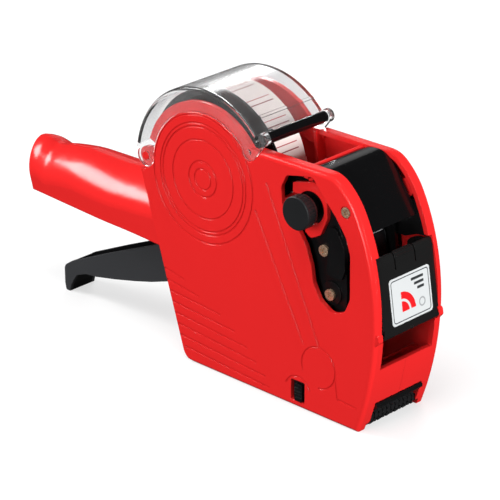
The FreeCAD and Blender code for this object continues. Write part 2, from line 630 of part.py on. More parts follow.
# ---------------------------------------------------------------- print head
R_CHEEK = 98.0


def polar(r, a):
    return (PIVOT[0] + r * math.cos(math.radians(a)), PIVOT[1] + r * math.sin(math.radians(a)))


cheek_pts = [(60.4, 9.6), (60.4, 18.2, 1.5), (67.5, 18.2, 2.0), polar(R_CHEEK + 2.5, 38.2) + (3.0,), polar(R_CHEEK, 33) + (6,),
             polar(R_CHEEK + .1, 28) + (20,), polar(R_CHEEK, 23) + (6,), polar(95, 15) + (6,), polar(93.5, 9) + (4,),
             (80.0, -43.0, 3.5), (75.2, -46.0, 4), (69.6, -42.6, 4), (64.0, -30.0, 8), (59.8, -15.0, 8),
             (52.0, -7.5, 5), (51.6, 2.0, 4), (53.0, 9.6, 2)]
right_cheek = plate(cheek_pts, -17.3, -15.6)
# raised block and lower lobe, as on the visible cheek
block_pts = [(69.6, -4.5, 3), (74.6, -3.0, 3), (80.2, -12.0, 3), (80.4, -22.2, 1.5), (78.4, -26.9, 1.2), (69.0, -26.5, 1.5), (70.4, -20.5, 2), (71.0, -12.0, 3)]
right_cheek = fuse([right_cheek, plate(block_pts, -19.0, -17.2), cyl((72.4, -34.6), 5.4, -18.2, -17.2)])
left_cheek = mirror(plate(cheek_pts, -17.3, -15.6))
for c in SCREWS_HEAD:
    right_cheek = right_cheek.cut(cyl(c, 1.32, -30, 0))
    left_cheek = left_cheek.cut(cyl(c, 1.32, 0, 30))
right_cheek = right_cheek.cut(cyl(SCREWS_HEAD[1], 3.1, -19, -17.75)).cut(cyl(SCREWS_HEAD[0], 3.0, -20, -17.3))
right_cheek = right_cheek.cut(cyl(KNOB, 3.9, -30, 0))
left_cheek = left_cheek.cut(cyl(KNOB, 3.36, 0, 16.6))
cheek_screws = Part.makeCompound([
    screw(SCREWS_HEAD[0], -18.6, -1, 2.6, 1.28, 1.3, 3.6), screw(SCREWS_HEAD[1], -19.0, -1, 2.6, 1.22, 1.3, 4.0),
    screw(SCREWS_HEAD[0], 18.6, 1, 2.6, 1.28, 1.3, 3.6), screw(SCREWS_HEAD[1], 18.6, 1, 2.6, 1.28, 1.3, 3.6)])

# direction from the selector axis to the anvil, and the normal to the front
DX, DZ = ANVIL[0] - KNOB[0], ANVIL[1] - KNOB[1]
DL = math.hypot(DX, DZ)
DX, DZ = DX / DL, DZ / DL
NX, NZ = -DZ, DX


def hp(s, n):
    """point at s along the head from the selector axis, n to its front"""
    return (KNOB[0] + DX * s + NX * n, KNOB[1] + DZ * s + NZ * n)


def band_edge(s, extra):
    """half thickness of the band stack at s"""
    return 6.8 + (3.95 - 6.8) * s / DL + extra


frame_front = plate([hp(11, band_edge(11, 0.6)), hp(11, band_edge(11, 2.0)), hp(35, band_edge(35, 2.0)), hp(35, band_edge(35, 0.6))], -13.5, 13.5)
frame_rear = plate([hp(-2, -band_edge(-2, 0.8)), hp(-2, -band_edge(-2, 2.8)), hp(31, -band_edge(31, 2.8)), hp(31, -band_edge(31, 0.8))], -13.5, 13.5)
side_pts = [hp(-7.5, -5) + (3,), hp(-7.5, 5) + (3,), hp(0, 8.6) + (4,), hp(11, band_edge(11, 2.0)), hp(35, band_edge(35, 2.0)) + (1,),
            hp(48.0, 4.2) + (2,), hp(50.0, 0) + (2,), hp(48.0, -4.2) + (2,), hp(31, -band_edge(31, 2.8)) + (1,), hp(-2, -band_edge(-2, 2.8)) + (2,)]
sides = [plate(side_pts, -13.5, -11.4), plate(side_pts, 11.4, 13.5)]
head_frame = fuse([frame_front, frame_rear] + sides)
# stays inside the ink roller's reach at the end of the stroke
head_frame = head_frame.common(cyl(PIVOT, 93.8, -20, 20))
head_frame = head_frame.cut(cyl(KNOB, 3.32, -20, 20)).cut(cyl(ANVIL, 2.87, -20, 20))
for c in SCREWS_HEAD:
    head_frame = head_frame.cut(cyl(c, 1.32, -20, -11)).cut(cyl(c, 1.32, 11, 20))
spindle_tube = tube(KNOB, 2.5, 3.3, -15.55, 16.5)
band_anvil = fuse([cyl(ANVIL, 2.85, -13.5, 13.5), cyl(ANVIL, 1.98, -15.5, 15.5)])


def band_loop(y0, y1):
    # outer belt around the wheel and the anvil, minus the same with the inner radii
    def belt(r0, r1):
        a = math.asin((r0 - r1) / DL)
        ca, sa = math.cos(a), math.sin(a)
        # front tangent points
        def tp(c, r, sg):
            ux = DX * sa + sg * NX * ca
            uz = DZ * sa + sg * NZ * ca
            return (c[0] + r * ux, c[1] + r * uz)
        f0, f1 = tp(KNOB, r0, 1), tp(ANVIL, r1, 1)
        b0, b1 = tp(KNOB, r0, -1), tp(ANVIL, r1, -1)
        top = (KNOB[0] - DX * r0, KNOB[1] - DZ * r0)
        bot = (ANVIL[0] + DX * r1, ANVIL[1] + DZ * r1)
        e = [Part.Arc(V(b0[0], 0, b0[1]), V(top[0], 0, top[1]), V(f0[0], 0, f0[1])).toShape(),
             Part.LineSegment(V(f0[0], 0, f0[1]), V(f1[0], 0, f1[1])).toShape(),
             Part.Arc(V(f1[0], 0, f1[1]), V(bot[0], 0, bot[1]), V(b1[0], 0, b1[1])).toShape(),
             Part.LineSegment(V(b1[0], 0, b1[1]), V(b0[0], 0, b0[1])).toShape()]
        return Part.Face(Part.Wire(e))
    return prism(belt(6.8, 3.95), y0, y1).cut(prism(belt(5.85, 2.95), y0 - 1, y1 + 1))


WHEEL_Y = [-9.1 + 2.6 * i for i in range(8)]
print_bands = Part.makeCompound([band_loop(y - 1.05, y + 1.05) for y in WHEEL_Y])
wheels = []
for i, y in enumerate(WHEEL_Y):
    w = tube(KNOB, 3.3 + RUN, 5.5, y - 1.1, y + 1.1)
    for k in range(12):
        a = math.radians(30 * k + 7 * i)
        w = w.cut(cyl((KNOB[0] + 5.75 * math.cos(a), KNOB[1] + 5.75 * math.sin(a)), 0.55, y - 2, y + 2))
    wheels.append(w)

hood_out = [(62.3, 20.9), (67.0, 21.5), (71.0, 21.1), (74.8, 19.0), (78.3, 15.8), (82.0, 11.0), (85.4, 5.8), (88.2, 0.9), (90.4, -3.0)]


def ribbon(pts, t, y0, y1):
    """curved plate: outer curve through pts, inner curve t below it"""
    inner = []
    n = len(pts)
    for i in range(n):
        a, b = pts[max(0, i - 1)], pts[min(n - 1, i + 1)]
        dx, dz = b[0] - a[0], b[1] - a[1]
        l = math.hypot(dx, dz)
        inner.append((pts[i][0] + dz / l * t, pts[i][1] - dx / l * t))
    so, si = Part.BSplineCurve(), Part.BSplineCurve()
    so.interpolate([V(x, 0, z) for x, z in pts])
    si.interpolate([V(x, 0, z) for x, z in inner])
    e = [so.toShape(), si.toShape(),
         Part.LineSegment(V(pts[0][0], 0, pts[0][1]), V(inner[0][0], 0, inner[0][1])).toShape(),
         Part.LineSegment(V(pts[-1][0], 0, pts[-1][1]), V(inner[-1][0], 0, inner[-1][1])).toShape()]
    return prism(Part.Face(Part.Wire(Part.__sortEdges__(e))), y0, y1)


hood_skin = ribbon(hood_out, 2.0, -HOOD_HALF, HOOD_HALF)
ear_pts = [(61.0, 19.8), (71.0, 19.6), (73.6, 17.8), (73.0, 12.0, 2), (66.5, 9.8, 2), (61.0, 9.8, 1)]
head_hood = fuse([hood_skin, plate(ear_pts, -15.5, -13.6), plate(ear_pts, 13.6, 15.5),
                  plate([(62.6, 19.6), (66.6, 19.9), (66.6, 13.0), (64.6, 11.4), (62.6, 13.0)], -13.6, 13.6)])

sel_pts = [(50.7, 7.4, 1), (50.7, 11.6, 1), (62.6, 14.6, 2), (67.2, 12.6, 3), (70.4, 6.5, 4), (70.6, -0.5, 4),
           (66.8, -8.8, 3), (61.2, -11.8, 2), (57.6, -9.2, 1), (58.2, -6.6, 1)]
sel = Part.Face(rounded(sel_pts[:-1] + [(59.0, -4.8), (53.4, 3.6)]))
sel.translate(V(0, -19.5, 0))
selector_plate = sel.extrude(V(0, 2.15, 0)).cut(cyl(KNOB, 7.4, -30, 0))
selector_plate = selector_plate.cut(box(40, 58.0, -30, 0, -20, 6.9))

index_window = plate([hp(12.5, band_edge(12.5, 2.05)), hp(12.5, band_edge(12.5, 2.55)), hp(19.5, band_edge(19.5, 2.55)), hp(19.5, band_edge(19.5, 2.05))], -12.0, 12.0)

selector_collar = tube(KNOB, 2.42 + RUN, 3.7, -19.3, -15.75)
knob_body = [cyl(KNOB, 7.7, -29.6, -24.6), Part.makeCone(7.7, 7.1, 1.5, V(KNOB[0], -24.7, KNOB[1]), V(0, 1, 0)),
             cyl(KNOB, 3.6, -23.4, -19.4), cyl(KNOB, 2.42, -19.5, 15.0)]
knob = fuse(knob_body)
rim = [e for e in knob.Edges if abs(e.BoundBox.YMin + 29.6) < 1e-3 and e.BoundBox.YLength < 1e-3]
knob = try_fillet(knob, rim, [0.7, 0.5], "knob")
# grips around the rim
for k in range(24):
    a = math.radians(15 * k)
    knob = knob.cut(cyl((KNOB[0] + 8.0 * math.cos(a), KNOB[1] + 8.0 * math.sin(a)), 0.52, -28.4, -22.8))
selector_knob = knob

# ---------------------------------------------------------------- feed
fw = [tube(FEED, 2.0 + RUN, 6.8, -10.9, 10.9), tube(FEED, 2.0 + RUN, FEED_R, -9.4, -7.6), tube(FEED, 2.0 + RUN, FEED_R, 7.6, 9.4)]
feed_wheel = fuse(fw)
for k in range(10):
    a = math.radians(36 * k)
    for y in (-8.5, 8.5):
        feed_wheel = feed_wheel.cut(cyl((FEED[0] + 8.3 * math.cos(a), FEED[1] + 8.3 * math.sin(a)), 1.3, y - 1, y + 1))
teeth = []
for k in range(12):
    a0, a1 = math.radians(30 * k), math.radians(30 * k + 30)
    teeth.append(V(FEED[0] + 6.4 * math.cos(a0), 0, FEED[1] + 6.4 * math.sin(a0)))
    teeth.append(V(FEED[0] + 4.9 * math.cos(a0 + math.radians(2)), 0, FEED[1] + 4.9 * math.sin(a0 + math.radians(2))))
f = Part.Face(Part.makePolygon(teeth + [teeth[0]]))
f.translate(V(0, 11.0, 0))
feed_ratchet = f.extrude(V(0, 1.7, 0)).cut(cyl(FEED, 2.0 + RUN, 0, 20))
pawl_pin = fuse([cyl(PAWL, 1.0, 11.2, 15.5), cyl(PAWL, 1.8, 11.0, 11.25)])
pawl_pts = [(48.2, -32.6, 1.6), (51.6, -32.6, 1.6), (52.6, -40.0, 5), (55.4, -49.4, 0.3), (52.6, -48.6, 2), (49.6, -41.0, 6)]
feed_pawl = plate(pawl_pts, 11.4, 13.3).cut(cyl(PAWL, 1.0 + RUN, 0, 20))

# ---------------------------------------------------------------- labels
label_roll = tube(ROLL_C, 14.15, ROLL_R, -LABEL_W / 2, LABEL_W / 2)
label_core = tube(ROLL_C, 12.2, 14.1, -LABEL_W / 2 - 0.1, LABEL_W / 2 - 1.0)

# ---------------------------------------------------------------- clear cover
def flange(y0, y1):
    fill = plate([(24.26, 19.3), (24.0, 21.5), (33.4, 30.2, 1), (36.6, 27.2, 2.5), (35.6, 24.4, 2), (31.2, 18.6), (27.5, 16.0)], y0, y1)
    body = fuse([sector(RECESS_R + 0.4, COVER_R, 38.5, 174.0, y0, y1), cyl(COVER_P, 5.0, y0, y1), cyl(COVER_Q, 4.0, y0, y1), fill])
    return body.cut(cyl(COVER_P, 2.0, -30, 30))


cover = fuse([flange(-HALF + 0.2, -20.5), flange(20.5, HALF - 0.2),
              sector(COVER_R - COVER_T, COVER_R, 38.5, 171.0, -20.7, 20.7),
              sector(COVER_R - 0.6, COVER_R + 0.9, 51.2, 53.0, -20.7, 20.7),
              cyl(BAR, 3.1, -HALF + 0.2, -19.0), cyl(BAR, 3.1, 19.0, HALF - 0.2),
              plate([polar_ for polar_ in [(31.0, 24.6), (33.3, 26.6), (34.5, 24.2), (32.4, 22.4)]], -20.7, -19.0),
              plate([(31.0, 24.6), (33.3, 26.6), (34.5, 24.2), (32.4, 22.4)], 19.0, 20.7)])
cover = cover.cut(cyl(BAR, 1.5, -20.6, 20.6)).cut(cyl(BAR, 2.72, -18.98, 18.98))
pips = []
for sgn in (-1, 1):
    s = Part.makeSphere(1.6, V(COVER_Q[0], sgn * (HALF - 1.0), COVER_Q[1]))
    s = s.cut(box(0, 60, -40, 40, 0, 60).cut(box(0, 60, -40, 40, 0, 60))) if False else s
    keepb = box(20, 35, HALF - 0.3, HALF + 1, 10, 30) if sgn > 0 else box(20, 35, -HALF - 1, -HALF + 0.3, 10, 30)
    pips.append(s.common(keepb))
rim = [e for e in cover.Edges if e.BoundBox.YLength < 1e-3 and abs(abs(e.BoundBox.YMin) - (HALF - 0.2)) < 1e-3
       and e.BoundBox.ZMax > COVER_R - 0.5 and e.BoundBox.XLength > 40]
cover = try_fillet(cover, rim, [1.4, 1.0, 0.6], "cover rim")
clear_cover = fuse([cover] + pips)
cover_bar = fuse([cyl(BAR, BAR_R, -18.95, 18.95), cyl(BAR, 1.48, -20.5, 20.5)])

# ---------------------------------------------------------------- ink cover
def face_x(z):
    """outer face of the ink cover"""
    return 100.0 - 0.15 * (z + 30.0)


panel_pts = [(94.9, -12.6, 0.4), (96.0, -12.4), (97.0, -13.3, 1.6), (face_x(-15.4), -15.4, 2.5), (face_x(-44.0), -44.0),
             (102.6, -46.6, 0.8), (102.5, -48.3, 0.9), (100.9, -48.6, 0.6), (100.1, -48.3, 0.4), (100.2, -45.0),
             (face_x(-42.0) - 1.5, -42.0), (face_x(-16.4) - 1.5, -16.4, 1.5), (95.6, -14.2), (94.8, -13.6, 0.4)]
panel = plate(panel_pts, -PANEL_HALF, PANEL_HALF)
for sgn in (-1, 1):
    arm = plate([(face_x(-26.0) - 0.6, -26.0), (face_x(-40.0) - 0.6, -40.0), (89.0, -40.9, 2), (86.4, -39.2, 1.6), (86.4, -37.0, 1.6), (90.0, -35.4, 3)],
                min(sgn * 16.9, sgn * 18.4), max(sgn * 16.9, sgn * 18.4))
    # side wall, thin and inside the hinge's reach so that it passes the shells as the cover swings
    wall = plate([(face_x(-17.0) - 0.8, -17.0), (face_x(-40.0) - 0.6, -40.0), (89.0, -40.9, 2), (86.4, -39.2, 1.6), (86.4, -27.0, 4), (84.4, -21.5, 3),
                  (84.6, -17.2, 1.5), (86.4, -15.4, 1.5), (89.8, -14.0, 3), (94.8, -13.7, 1)],
                 min(sgn * 17.5, sgn * 18.4), max(sgn * 17.5, sgn * 18.4))
    panel = panel.fuse(arm).fuse(wall)
for sgn in (-1, 1):
    panel = panel.cut(cyl(INK_HINGE, 0.7, min(sgn * 17.2, sgn * 20), max(sgn * 17.2, sgn * 20)))
    # slits beside the spring tab
    panel = panel.cut(box(90, 105, min(sgn * 6.3, sgn * 7.0), max(sgn * 6.3, sgn * 7.0), -19.8, 0))
panel = panel.cut(cyl(INK, 1.52, -20, 20))
# the lower strip is narrower
panel = panel.cut(box(101.0, 106, -20, -17.4, -46.4, -43.8)).cut(box(101.0, 106, 17.4, 20, -46.4, -43.8))
# finger ridges on the spring tab
tab = []
for x, z in ((95.4, -12.5), (96.6, -13.0), (97.4, -14.2)):
    tab.append(Part.makeCylinder(0.4, 11.0, V(x - 0.1, -5.5, z - 0.1), V(0, 1, 0)))
nub = Part.makeSphere(1.0, V(102.3, 0, -47.2))
ink_cover = fuse([panel] + tab + [nub.common(box(101.5, 104, -3, 3, -50, -40))]).removeSplitter()
LZ0, LZ1 = -23.15, -45.6
lab = plate([(face_x(LZ0) - 0.16, LZ0), (face_x(LZ0) + 0.14, LZ0), (face_x(LZ1 + 1.6) + 0.14, LZ1 + 1.6), (face_x(LZ1 + 1.6) - 0.16, LZ1 + 1.6)], -12.1, 14.7)
lab_edges = [e for e in lab.Edges if e.BoundBox.YLength < 1e-3 and e.BoundBox.XLength > 0.2 and e.BoundBox.ZLength < 0.5]
label_plate = try_fillet(lab, lab_edges, [1.6, 1.2], "ink label")
ink_cover = ink_cover.cut(label_plate)
ink_roller = tube(INK, 2.4, INK_R, -13.0, 13.0)
ink_core = fuse([tube(INK, 1.5 + RUN, 2.35, -13.4, 13.4), tube(INK, 1.5 + RUN, 4.2, -14.2, -13.2), tube(INK, 1.5 + RUN, 4.2, 13.2, 14.2)])
ink_axle = cyl(INK, 1.5, -18.3, 18.3)

# ---------------------------------------------------------------- sole
bt = 2.0
cover_pts = [(47.0, sole(47.0)), (47.0, sole(47.0) + bt), (50, sole(50) + bt), (83.6, sole(83.6) + bt), (83.6, sole(83.6))]
bottom = plate(cover_pts, -17.3, 17.3)
for sgn in (-1, 1):
    bottom = bottom.fuse(plate([(74.0, sole(74) + 0.5), (76.0, -88.0, 2), (84.0, -86.0, 2), (89.8, -86.0, 1.5), (90.5, -88.2, 0.5), (91.1, -89.0, 0.5), (90.5, -91.6, 2.0), (84.0, sole(83.6) + 0.4)],
                               min(sgn * 15.75, sgn * 17.3), max(sgn * 15.75, sgn * 17.3)))
bottom = bottom.fuse(box(50.5, 52.5, -12, 12, sole(50) + 1.0, -88.6))
bottom = bottom.cut(cyl(APP, 1.5 + RUN, -30, 30)).removeSplitter()
for k in range(5):
    bottom = bottom.cut(box(52.0 + 2.0 * k, 52.8 + 2.0 * k, -9, 9, -99, sole(56) + 0.45))
bottom_cover = bottom.cut(prism(Part.Face(Part.makePolygon([V(-60, 0, sole(-60)), V(140, 0, sole(140)), V(140, 0, -120),
                                                            V(-60, 0, -120), V(-60, 0, sole(-60))])), -40, 40))

latch_right = fuse([plate([(55.4, -81.6, 0.6), (59.6, -81.6, 0.6), (59.6, -89.7, 0.6), (55.4, -89.7, 0.6)], -22.9, -18.6),
                    plate([(53.4, -80.4, 0.4), (60.6, -80.4, 0.4), (60.6, -89.7, 0.4), (53.4, -89.7, 0.4)], -20.9, -19.3)])
for k in range(4):
    z = -83.4 - 1.5 * k
    latch_right = latch_right.cut(box(55.0, 60.0, -23.5, -22.55, z, z + 0.5))
latch_left = mirror(latch_right)

roller = tube(APP, 1.5 + RUN, APP_R - 0.95, -15.2, 15.2)
for i in range(11):
    y = -14.0 + 2.8 * i
    pts = []
    for k in range(24):
        a = math.radians(15.0 * k + (7.5 if i % 2 else 0.0))
        r = APP_R if k % 2 else APP_R - 0.75
        pts.append((APP[0] + r * math.cos(a), APP[1] + r * math.sin(a)))
    ring = plate(pts, y - 0.7, y + 0.7)
    roller = roller.fuse(ring.cut(cyl(APP, APP_R - 1.5, -20, 20)))
applicator_roller = roller

# ---------------------------------------------------------------- write
NODES = {
    "right_shell": right_shell, "left_shell": left_shell, "shell_screws": shell_screws,
    "cross_brace": cross_brace, "side_liner": side_liner, "roll_holder": roll_holder, "web_guide": web_guide,
    "label_web": label_web, "platen": platen, "peel_bar": peel_bar,
    "main_pivot_pin": main_pivot_pin, "return_spring": return_spring, "feed_axle": feed_axle,
    "roller_axle": roller_axle,
    "trigger_lever": trigger_lever, "right_cheek": right_cheek, "left_cheek": left_cheek,
    "head_frame": head_frame, "head_hood": head_hood, "selector_plate": selector_plate,
    "cheek_screws": cheek_screws, "spindle_tube": spindle_tube, "print_bands": print_bands,
    "band_anvil": band_anvil, "index_window": index_window, "pawl_pin": pawl_pin,
    "selector_collar": selector_collar, "selector_knob": selector_knob,
    "feed_wheel": feed_wheel, "feed_ratchet": feed_ratchet, "feed_pawl": feed_pawl,
    "label_roll": label_roll, "label_core": label_core,
    "clear_cover": clear_cover, "cover_bar": cover_bar,
    "ink_cover": ink_cover, "ink_label": label_plate, "ink_roller": ink_roller,
    "ink_core": ink_core, "ink_axle": ink_axle,
    "bottom_cover": bottom_cover, "latch_tab_right": latch_right, "latch_tab_left": latch_left,
    "applicator_roller": applicator_roller,
}
for i, w in enumerate(wheels):
    NODES["digit_wheel_%d" % (i + 1)] = w

for name, shape in NODES.items():
    save(name, shape)
print(len(NODES), "nodes")
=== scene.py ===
import bpy
import bmesh
import math
from mathutils import Matrix, Vector

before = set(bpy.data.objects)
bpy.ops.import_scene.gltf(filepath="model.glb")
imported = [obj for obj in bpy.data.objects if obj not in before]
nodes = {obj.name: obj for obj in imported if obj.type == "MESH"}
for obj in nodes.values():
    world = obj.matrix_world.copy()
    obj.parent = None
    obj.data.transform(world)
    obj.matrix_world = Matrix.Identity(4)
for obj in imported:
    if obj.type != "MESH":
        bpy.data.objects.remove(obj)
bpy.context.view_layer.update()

scene = bpy.context.scene

# ------------------------------------------------------------------ frames
# Points are given in the working axes of the part's drawing: millimetres, X forward, Y to the
# tool's left, Z up, origin on the label-roll hub.  H() gives the row frame in metres.
TILT = math.radians(1.56)
CT, ST = math.cos(TILT), math.sin(TILT)
ORIGIN_X = 45.3
BASE_DROP = 91.334


def H(x, y, z):
    return Vector(((x * CT - z * ST - ORIGIN_X) / 1000.0, y / 1000.0,
                   (x * ST + z * CT + BASE_DROP * CT) / 1000.0))


def D(x, y, z):
    """direction in the working axes, as a row-frame direction"""
    return Vector((x * CT - z * ST, y, x * ST + z * CT))


# ------------------------------------------------------------------ material tools
class Mat:
    """small helper that builds a node material"""

    def __init__(self, name):
        self.m = bpy.data.materials.new(name)
        self.m.use_nodes = True
        self.t = self.m.node_tree
        for n in list(self.t.nodes):
            self.t.nodes.remove(n)
        self.out = self.t.nodes.new("ShaderNodeOutputMaterial")
        self.b = self.t.nodes.new("ShaderNodeBsdfPrincipled")
        self.t.links.new(self.b.outputs["BSDF"], self.out.inputs["Surface"])

    def node(self, kind, **kw):
        n = self.t.nodes.new(kind)
        for k, v in kw.items():
            setattr(n, k, v)
        return n

    def link(self, a, b):
        self.t.links.new(a, b)

    def set(self, **kw):
        for k, v in kw.items():
            self.b.inputs[k.replace("_", " ")].default_value = v
        return self

    def coord(self, which="Object"):
        return self.node("ShaderNodeTexCoord").outputs[which]

    def math(self, op, a, b=None, c=None, clamp=False):
        n = self.node("ShaderNodeMath", operation=op, use_clamp=clamp)
        for i, v in enumerate((a, b, c)):
            if v is None:
                continue
            if isinstance(v, (int, float)):
                n.inputs[i].default_value = v
            else:
                self.link(v, n.inputs[i])
        return n.outputs[0]

    def combine(self, x, y, z):
        n = self.node("ShaderNodeCombineXYZ")
        for i, v in enumerate((x, y, z)):
            if isinstance(v, (int, float)):
                n.inputs[i].default_value = v
            else:
                self.link(v, n.inputs[i])
        return n.outputs[0]

    def noise(self, scale, detail=3.0, rough=0.5, vector=None, dims="3D"):
        n = self.node("ShaderNodeTexNoise", noise_dimensions=dims)
        n.inputs["Scale"].default_value = scale
        n.inputs["Detail"].default_value = detail
        n.inputs["Roughness"].default_value = rough
        self.link(vector if vector is not None else self.coord(), n.inputs["Vector"])
        return n.outputs["Fac"]

    def stretched(self, sx, sy, sz):
        mp = self.node("ShaderNodeMapping")
        self.link(self.coord(), mp.inputs["Vector"])
        mp.inputs["Scale"].default_value = (sx, sy, sz)
        return mp.outputs["Vector"]

    def rng(self, value, a0, a1, b0, b1, smooth=False):
        n = self.node("ShaderNodeMapRange")
        if smooth:
            n.interpolation_type = "SMOOTHSTEP"
        self.link(value, n.inputs["Value"])
        for k, v in zip(("From Min", "From Max", "To Min", "To Max"), (a0, a1, b0, b1)):
            n.inputs[k].default_value = v
        return n.outputs["Result"]

    def mix(self, fac, a, b):
        n = self.node("ShaderNodeMix", data_type="RGBA")
        if isinstance(fac, (int, float)):
            n.inputs[0].default_value = fac
        else:
            self.link(fac, n.inputs[0])
        for i, v in ((6, a), (7, b)):
            if isinstance(v, (tuple, list)):
                n.inputs[i].default_value = (*v[:3], 1.0)
            else:
                self.link(v, n.inputs[i])
        return n.outputs[2]

    def bump(self, height, strength=0.1, distance=0.0001, normal=None):
        n = self.node("ShaderNodeBump")
        n.inputs["Strength"].default_value = strength
        n.inputs["Distance"].default_value = distance
        self.link(height, n.inputs["Height"])
        if normal is not None:
            self.link(normal, n.inputs["Normal"])
        return n.outputs["Normal"]

    def bevel(self, radius):
        n = self.node("ShaderNodeBevel", samples=4)
        n.inputs["Radius"].default_value = radius
        return n.outputs["Normal"]

    def normal(self, socket):
        self.link(socket, self.b.inputs["Normal"])
        return self

    def xyz(self):
        """row-frame X, Y and Z of the shaded point, in metres"""
        sep = self.node("ShaderNodeSeparateXYZ")
        self.link(self.coord(), sep.inputs["Vector"])
        return sep.outputs["X"], sep.outputs["Y"], sep.outputs["Z"]


def moulded(name, color, rough, var=0.03, grain=0.02, bevel=0.0003, spec=0.5, specks=0.0):
    """injection-moulded plastic: slight colour and gloss variation, fine orange-peel"""
    m = Mat(name)
    n1 = m.noise(38.0, 3.0, 0.55)
    dark = tuple(c * (1 - var) for c in color)
    light = tuple(min(1.0, c * (1 + var)) for c in color)
    col = m.mix(n1, dark, light)
    if specks:
        # a little dust, as fine pale specks
        n4 = m.noise(1500.0, 1.0, 0.4)
        col = m.mix(m.rng(n4, 0.74, 0.80, 0.0, specks), col, (0.35, 0.34, 0.33))
    m.link(col, m.b.inputs["Base Color"])
    n2 = m.noise(120.0, 4.0, 0.6)
    m.link(m.rng(n2, 0.3, 0.7, rough - 0.03, rough + 0.04), m.b.inputs["Roughness"])
    n3 = m.noise(900.0, 2.0, 0.5)
    m.normal(m.bump(n3, grain, 0.00005, m.bevel(bevel) if bevel else None))
    m.b.inputs["Specular IOR Level"].default_value = spec
    m.b.inputs["IOR"].default_value = 1.5
    return m.m


def metal(name, color, rough, stretch=(1, 1, 1), bevel=0.0002, metallic=1.0):
    m = Mat(name)
    n1 = m.noise(600, 4.0, 0.6, m.stretched(*stretch))
    m.link(m.mix(n1, tuple(c * 0.8 for c in color), color), m.b.inputs["Base Color"])
    m.link(m.rng(n1, 0.3, 0.7, rough - 0.06, rough + 0.1), m.b.inputs["Roughness"])
    m.b.inputs["Metallic"].default_value = metallic
    m.normal(m.bevel(bevel))
    return m.m


RED = (0.750, 0.0190, 0.0190)
red = moulded("red_shell", RED, 0.20, var=0.025, grain=0.02, bevel=0.0006)
black = moulded("black_gloss", (0.0028, 0.0028, 0.0031), 0.17, var=0.15, grain=0.02, bevel=0.0003, specks=0.03)
black_satin = moulded("black_satin", (0.0042, 0.0042, 0.0046), 0.34, var=0.15, grain=0.06, bevel=0.0003, specks=0.06)
black_knob = moulded("black_knob", (0.011, 0.0115, 0.0125), 0.42, var=0.12, grain=0.05, bevel=0.0003)
black_cover = moulded("black_cover", (0.0085, 0.0085, 0.0085), 0.30, var=0.15, grain=0.03, bevel=0.0003)
black_lug = moulded("black_roll_plate", (0.0035, 0.0035, 0.0035), 0.22, var=0.15, grain=0.10, bevel=0.0002, specks=0.5)


def lever_plastic(name):
    """dark grey moulding; inside the trough, and on the hub arms that lie within the same width, the colour is painted
    near black as painted shade
    """
    m = Mat(name)
    n1 = m.noise(38.0, 3.0, 0.55)
    outer = m.mix(n1, (0.0365, 0.0375, 0.0405), (0.0425, 0.0435, 0.0465))
    # painted shade: near-black colour for the trough's inner faces, which in the real lever are only in shadow
    trough_painted_shade = m.mix(n1, (0.0030, 0.0030, 0.0035), (0.0045, 0.0045, 0.0050))
    X, Y, Z = m.xyz()
    # mask: 0 within the trough walls (painted shade), 1 on the outer grey faces
    side = m.rng(m.math("ABSOLUTE", Y), 0.00618, 0.00632, 0.0, 1.0)
    m.link(m.mix(side, trough_painted_shade, outer), m.b.inputs["Base Color"])
    m.link(m.rng(m.noise(120.0, 4.0, 0.6), 0.3, 0.7, 0.39, 0.46), m.b.inputs["Roughness"])
    m.normal(m.bump(m.noise(900.0, 2.0, 0.5), 0.08, 0.00005, m.bevel(0.0006)))
    m.b.inputs["Specular IOR Level"].default_value = 0.4
    m.b.inputs["IOR"].default_value = 1.5
    return m.m


grey = lever_plastic("lever_grey")
white = moulded("white_plastic", (0.62, 0.61, 0.58), 0.4, var=0.03, grain=0.03, bevel=0.0001)
wheel_white = moulded("wheel_plastic", (0.30, 0.30, 0.29), 0.4, var=0.05, grain=0.05, bevel=0.0001)
brass = metal("brass_screw", (0.80, 0.54, 0.36), 0.26, metallic=0.7)
steel = metal("steel_pin", (0.55, 0.55, 0.56), 0.3)
dark_steel = metal("dark_steel", (0.16, 0.16, 0.165), 0.35)
rubber = moulded("rubber", (0.012, 0.012, 0.013), 0.45, var=0.2, grain=0.15, bevel=0.0002)
band = moulded("band_rubber", (0.018, 0.018, 0.019), 0.5, var=0.2, grain=0.2, bevel=0.0)
foam = moulded("ink_foam", (0.010, 0.010, 0.022), 0.8, var=0.3, grain=0.6, bevel=0.0)
board = moulded("core_board", (0.42, 0.31, 0.20), 0.8, var=0.12, grain=0.4, bevel=0.0)


def clear_plastic(name, tint, rough, clearness):
    """clear moulding with a little haze and fine scuffs in its surface"""
    m = Mat(name)
    m.b.inputs["IOR"].default_value = 1.46
    n1 = m.noise(25.0, 2.0, 0.5)
    m.link(m.mix(n1, tuple(c * 0.985 for c in tint), tint), m.b.inputs["Base Color"])
    n2 = m.noise(60.0, 3.0, 0.6)
    m.link(m.rng(n2, 0.3, 0.7, rough, rough + 0.03), m.b.inputs["Roughness"])
    n3 = m.noise(45.0, 4.0, 0.65)
    m.link(m.rng(n3, 0.35, 0.65, clearness - 0.012, clearness + 0.010), m.b.inputs["Transmission Weight"])
    return m.m


clear = clear_plastic("clear_cover", (0.875, 0.878, 0.882), 0.06, 0.986)
window = clear_plastic("clear_window", (0.30, 0.30, 0.31), 0.08, 0.6)


